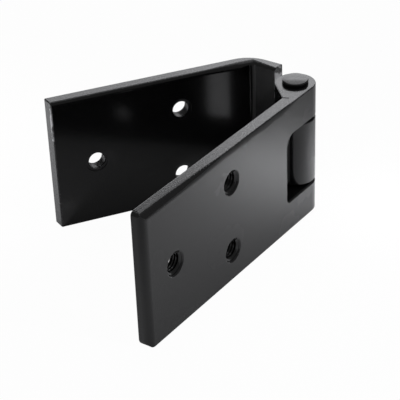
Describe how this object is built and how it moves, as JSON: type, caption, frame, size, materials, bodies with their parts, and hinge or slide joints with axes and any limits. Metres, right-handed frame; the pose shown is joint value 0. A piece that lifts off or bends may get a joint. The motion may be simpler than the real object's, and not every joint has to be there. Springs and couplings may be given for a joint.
{
  "type": "car door hinge",
  "caption": "Bolt-on strap door hinge: a flat door leaf and a cranked pillar leaf with rolled knuckles, joined by a pressed-in pin with a domed head.",
  "frame": {"origin": "on the hinge pin's axis, level with the lower edges of both leaves", "axes": "+Z along the pin towards its head; the door leaf runs along -X with its outer face towards -Y; the pillar leaf lies behind it, opened 33.5 degrees at rest"},
  "size_m": [0.1074, 0.0742, 0.0516],
  "materials": {
    "leaf_paint": "semi-gloss black paint",
    "pin_paint": "gloss black paint"
  },
  "bodies": {
    "pillar_side": {"pillar_leaf": "leaf_paint"},
    "door_side": {"door_leaf": "leaf_paint", "hinge_pin": "pin_paint"}
  },
  "joints": [
    {"name": "leaf_swing", "type": "hinge", "parent": "pillar_side", "child": "door_side", "pos_m": [0, 0, 0.025], "axis": [0, 0, 1], "range_deg": [-33, 146]}
  ]
}
